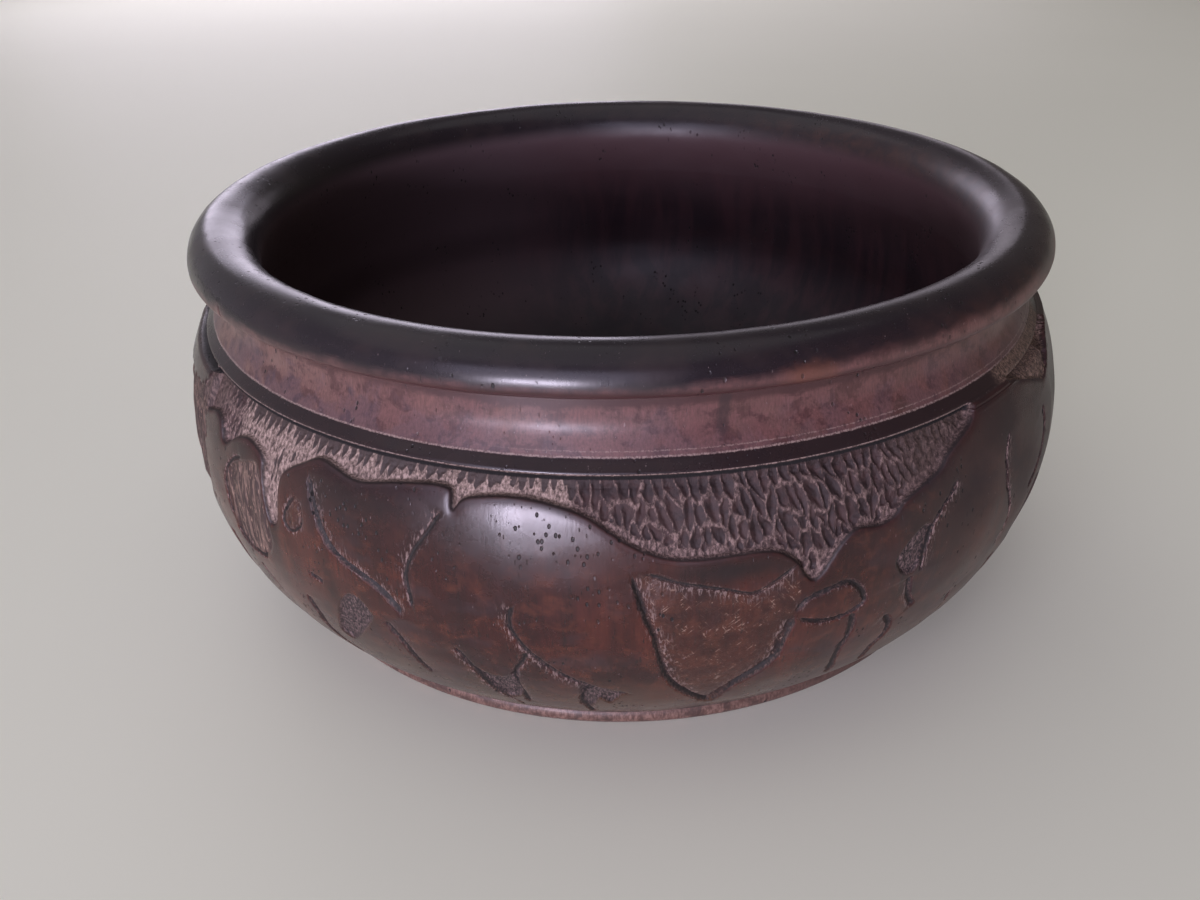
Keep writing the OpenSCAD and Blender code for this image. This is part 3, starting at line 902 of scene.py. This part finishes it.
def wood_roughness(n, t):
    near_edge = n.mul(n.range(t.ground, -1.3, -0.1), n.range(t.up, 80.2, 79.8))
    rough = n.range(t.blotch, 0.30, 0.70, 0.22, 0.31)
    for where, amount in (
            (n.mul(t.in_ground, n.range(t.ridge, 0.0, 1.0, 0.36, 0.50)), 1.0),
            (n.mul(near_edge, n.sub(1.0, t.in_ground)), 0.25),
            (n.math("MAXIMUM", t.in_pocket, t.streaky), 0.38),
            (n.range(t.line, 1.0, 1.5, 1.0, 0.0), 0.40),
            (t.ear, 0.16),
            (n.mul(t.stain, n.range(t.across, 50, 85)), 0.35),
            (t.in_neck, 0.12),
            (t.rough_end, 0.15),
            (n.mul(t.groove, t.outside), 0.4),
            (n.mul(t.in_hollow, n.range(t.up, 60, 15, 0.16, 0.45)), 1.0),
            (t.rim_right, 0.08),
            (t.pores, 0.3),
            (t.on_foot, 0.22)):
        rough = n.plus(rough, n.mul(where, amount))
    return n.math("MINIMUM", rough, 0.9)


def wood_relief(n, t):
    height = n.plus(n.mul(t.fine_grain, 0.04), n.mul(t.pores, -0.5))
    for where, amount in (
            (n.mul(t.fibre, t.cut_back), 0.60), (n.mul(t.fibre, t.grainy), 0.50),
            (t.chipped, 0.30), (n.mul(t.scratch, t.ear), 0.20)):
        height = n.plus(height, n.mul(where, amount))
    return n.add("ShaderNodeBump", {"Strength": 0.5, "Distance": 0.001, "Height": height})


def wood():
    n = Nodes("carved_hardwood")
    t = wood_fields(n)
    colour = turned_colour(n, t)
    for add_layer in (add_ground, add_turned_edges, add_engraving, add_ears, add_pores):
        colour = add_layer(n, t, colour)
    shader = n.add("ShaderNodeBsdfPrincipled", {
        "Base Color": colour, "Roughness": wood_roughness(n, t), "Normal": wood_relief(n, t),
        "IOR": 1.5, "Specular IOR Level": 0.45})
    n.tree.links.new(shader.outputs[0], n.add("ShaderNodeOutputMaterial").inputs[0])
    return n.mat


me.materials.append(wood())

# ----------------------------------------------------- floor, light and camera


def plain(name, colour, rough):
    n = Nodes(name)
    soft = n.noise(n.add("ShaderNodeTexCoord").outputs["Object"], 3.0, 2)
    tone = n.mix(n.range(soft, 0.3, 0.7), tuple(c * 0.985 for c in colour), colour)
    s = n.add("ShaderNodeBsdfPrincipled", {"Base Color": tone, "Roughness": rough})
    n.tree.links.new(s.outputs[0], n.add("ShaderNodeOutputMaterial").inputs[0])
    return n.mat


def add_floor():
    me = bpy.data.meshes.new("floor")
    me.from_pydata([(-4, -3, 0), (4, -3, 0), (4, 6, 0), (-4, 6, 0)], [], [(0, 1, 2, 3)])
    me.materials.append(plain("pale_floor", (0.88, 0.91, 0.76), 0.6))
    floor = bpy.data.objects.new("floor", me)
    scene.collection.objects.link(floor)


def lamp(name, at, target, size, power, colour):
    data = bpy.data.lights.new(name, "AREA")
    data.shape = "RECTANGLE"
    data.size, data.size_y = size
    data.energy = power
    data.color = colour
    ob = bpy.data.objects.new(name, data)
    ob.location = at
    ob.rotation_euler = (Vector(target) - Vector(at)).to_track_quat("-Z", "Y").to_euler()
    ob.visible_camera = False
    scene.collection.objects.link(ob)


def studio_world():
    """Even light from all round, brightest on the left and fading to warm and dim on the right."""
    world = bpy.data.worlds.new("studio")
    world.use_nodes = True
    nodes, links = world.node_tree.nodes, world.node_tree.links
    way = nodes.new("ShaderNodeTexCoord")
    side = nodes.new("ShaderNodeSeparateXYZ")
    fade = nodes.new("ShaderNodeMapRange")
    for socket, value in zip(fade.inputs, (0, -1.0, 1.0, 0.0, 1.0)):
        socket.default_value = value
    tint = nodes.new("ShaderNodeValToRGB")
    for place in (0.3, 0.55):
        tint.color_ramp.elements.new(place)
    for stop, colour in zip(tint.color_ramp.elements, (
            (0.425, 0.400, 0.425), (0.300, 0.280, 0.295), (0.170, 0.150, 0.155), (0.115, 0.092, 0.075))):
        stop.color = (*colour, 1)
    links.new(way.outputs["Generated"], side.inputs[0])
    links.new(side.outputs[0], fade.inputs[0])
    links.new(fade.outputs[0], tint.inputs[0])
    links.new(tint.outputs[0], nodes["Background"].inputs[0])
    return world


def add_camera(at, lens, pitch, yaw, roll):
    """A camera that looks along +Y, turned by yaw, tipped down by pitch and leaned by roll (radians)."""
    data = bpy.data.cameras.new("camera")
    data.sensor_width = 36
    data.lens = lens
    ahead = Vector((math.sin(yaw) * math.cos(pitch), math.cos(yaw) * math.cos(pitch), -math.sin(pitch)))
    level = Vector((math.cos(yaw), -math.sin(yaw), 0))
    upright = level.cross(ahead)
    right = math.cos(roll) * level + math.sin(roll) * upright
    up = -math.sin(roll) * level + math.cos(roll) * upright
    pose = Matrix((right, up, -ahead)).transposed().to_4x4()
    pose.translation = Vector(at)
    camera = bpy.data.objects.new("camera", data)
    camera.matrix_world = pose
    scene.collection.objects.link(camera)
    return camera


add_floor()
lamp("window", (-0.57, -1.75, 0.25), (0, 0, 0.07), (0.50, 0.34), 30, (0.87, 0.79, 1.0))
lamp("sky", (-0.55, -1.60, 0.95), (0, 0, 0.07), (1.5, 0.9), 10, (0.78, 0.73, 1.0))
lamp("back_wall", (-0.5, 1.7, 0.46), (0, 0, 0.10), (1.1, 0.62), 6, (0.90, 0.82, 1.0))
lamp("back_right", (0.42, 1.7, 0.42), (0, 0, 0.10), (0.6, 0.5), 0.7, (0.95, 0.85, 1.0))
lamp("overhead", (-0.3, 0.1, 1.9), (0, 0, 0.05), (2.4, 2.4), 7, (1.0, 0.98, 1.0))
scene.world = studio_world()
scene.view_settings.view_transform = "Standard"
scene.camera = add_camera((0, -0.300, 0.1926), 31.5, 0.522, -0.022, -0.023)

bpy.context.view_layer.update()
